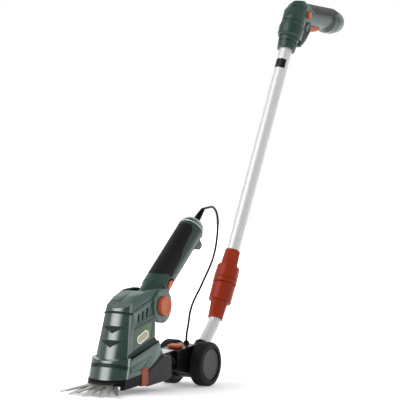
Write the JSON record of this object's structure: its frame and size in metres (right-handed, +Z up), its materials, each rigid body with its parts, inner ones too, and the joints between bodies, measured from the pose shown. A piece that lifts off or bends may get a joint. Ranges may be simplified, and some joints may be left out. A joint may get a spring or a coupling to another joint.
{
  "type": "grass shears on a wheeled pole",
  "caption": "Cordless grass shears with a hinged battery handle and toothed blades, held in a wheeled carriage on a telescopic pole that ends in a trigger grip.",
  "frame": {"origin": "on the floor, midway along the whole length and across the width", "axes": "+X to the right side, +Y from the blades towards the pole handle, +Z up"},
  "size_m": [0.116, 0.9032, 0.7313],
  "materials": {
    "green": "satin metallic green",
    "dark_green": "glossy metallic dark green",
    "orange": "satin",
    "clamp_red": "glossy",
    "black": "satin",
    "dark_grey": "satin",
    "grey": "satin",
    "rubber": "fine texture",
    "tyre": "matt",
    "steel": "brushed",
    "alloy": "satin",
    "white": "glossy",
    "board": "satin",
    "cell": "satin"
  },
  "bodies": {
    "head": {"head_shell_right": "green", "head_shell_left": "green", "front_cover": "dark_green", "head_base": "black", "badge_plate": "white", "gear_plate": "black", "motor": "steel", "comb": "steel", "blade_bolt": "steel", "blade_clamp": "steel", "hinge_pin": "steel", "head_screws": "steel", "carriage_shoe": "dark_grey", "carriage_shell_right": "black", "carriage_shell_left": "black", "latch_plate": "alloy", "axle": "steel", "carriage_screws": "steel", "cord_gland": "black", "lower_tube": "alloy", "charging_cord": "rubber"},
    "handle": {"handle_shell_right": "green", "handle_shell_left": "green", "handle_grip": "rubber", "end_ring": "white", "end_cap": "dark_green", "charge_socket": "black", "battery_cells": "cell", "battery_tray": "black", "circuit_board": "board", "handle_switch": "black", "handle_screws": "steel", "cord_plug": "black"},
    "handle_trigger": {"handle_trigger": "orange"},
    "upper_blade": {"upper_blade": "steel"},
    "crank_gear": {"crank_gear": "steel"},
    "motor_pinion": {"motor_pinion": "steel"},
    "release_button_right": {"release_button_right": "orange"},
    "release_button_left": {"release_button_left": "orange"},
    "hinge_button_right": {"hinge_button_right": "orange"},
    "hinge_button_left": {"hinge_button_left": "orange"},
    "latch_button": {"latch_button": "orange"},
    "wheel_right": {"wheel_right": "dark_grey", "tyre_right": "tyre", "wheel_cap_right": "grey"},
    "wheel_left": {"wheel_left": "dark_grey", "tyre_left": "tyre", "wheel_cap_left": "grey"},
    "pole": {"upper_tube": "alloy", "clamp_body": "clamp_red", "collet": "black", "pole_shell_right": "green", "pole_shell_left": "green", "pole_grip": "rubber", "pole_switch": "black", "pole_screws": "steel"},
    "clamp_nut": {"clamp_nut": "clamp_red"},
    "pole_trigger": {"pole_trigger": "orange"},
    "lock_button": {"lock_button": "orange"}
  },
  "joints": [
    {"name": "handle_tilt", "type": "hinge", "parent": "head", "child": "handle", "pos_m": [0, -0.2508, 0.14858], "axis": [1, 0, 0], "range_deg": [-15, 30], "deforming": ["charging_cord"]},
    {"name": "handle_trigger_press", "type": "hinge", "parent": "handle", "child": "handle_trigger", "pos_m": [0, -0.1959, 0.19365], "axis": [1, 0, 0], "range_deg": [-8, 0], "stiffness_Nm_per_rad": 0.4, "springref_deg": 5.73},
    {"name": "blade_swing", "type": "hinge", "parent": "head", "child": "upper_blade", "pos_m": [0, -0.36283, 0.01866], "axis": [0, -0.1045, 0.9945], "range_deg": [-5, 5]},
    {"name": "crank_spin", "type": "hinge", "parent": "head", "child": "crank_gear", "pos_m": [0, -0.33927, 0.0337], "axis": [0, -0.1045, 0.9945], "continuous": true},
    {"name": "pinion_spin", "type": "hinge", "parent": "head", "child": "motor_pinion", "pos_m": [0, -0.31242, 0.03652], "axis": [0, -0.1045, 0.9945], "continuous": true},
    {"name": "release_press_right", "type": "slide", "parent": "head", "child": "release_button_right", "axis": [-1, 0, 0], "range_m": [0, 0.003], "stiffness_N_per_m": 600},
    {"name": "release_press_left", "type": "slide", "parent": "head", "child": "release_button_left", "axis": [1, 0, 0], "range_m": [0, 0.003], "stiffness_N_per_m": 600},
    {"name": "hinge_press_right", "type": "slide", "parent": "head", "child": "hinge_button_right", "axis": [-1, 0, 0], "range_m": [0, 0.003], "stiffness_N_per_m": 600},
    {"name": "hinge_press_left", "type": "slide", "parent": "head", "child": "hinge_button_left", "axis": [1, 0, 0], "range_m": [0, 0.003], "stiffness_N_per_m": 600},
    {"name": "latch_slide", "type": "slide", "parent": "head", "child": "latch_button", "axis": [0, 0.9945, 0.1045], "range_m": [0, 0.005], "stiffness_N_per_m": 600},
    {"name": "wheel_spin_right", "type": "hinge", "parent": "head", "child": "wheel_right", "pos_m": [0, -0.09743, 0.04], "axis": [1, 0, 0], "continuous": true},
    {"name": "wheel_spin_left", "type": "hinge", "parent": "head", "child": "wheel_left", "pos_m": [0, -0.09743, 0.04], "axis": [1, 0, 0], "continuous": true},
    {"name": "pole_slide", "type": "slide", "parent": "head", "child": "pole", "axis": [0, 0.4195, 0.9078], "range_m": [0, 0.25]},
    {"name": "clamp_turn", "type": "hinge", "parent": "pole", "child": "clamp_nut", "pos_m": [0, 0.00835, 0.14531], "axis": [0, 0.4195, 0.9078], "range_deg": [0, 90]},
    {"name": "pole_trigger_press", "type": "hinge", "parent": "pole", "child": "pole_trigger", "pos_m": [0, 0.36257, 0.69032], "axis": [1, 0, 0], "range_deg": [-8, 0], "stiffness_Nm_per_rad": 0.4, "springref_deg": 5.73},
    {"name": "lock_press", "type": "slide", "parent": "pole", "child": "lock_button", "axis": [-1, 0, 0], "range_m": [0, 0.003], "stiffness_N_per_m": 600}
  ],
  "couplings": [
    {"joint": "pinion_spin", "follows": "crank_spin", "ratio": -3.5}
  ]
}
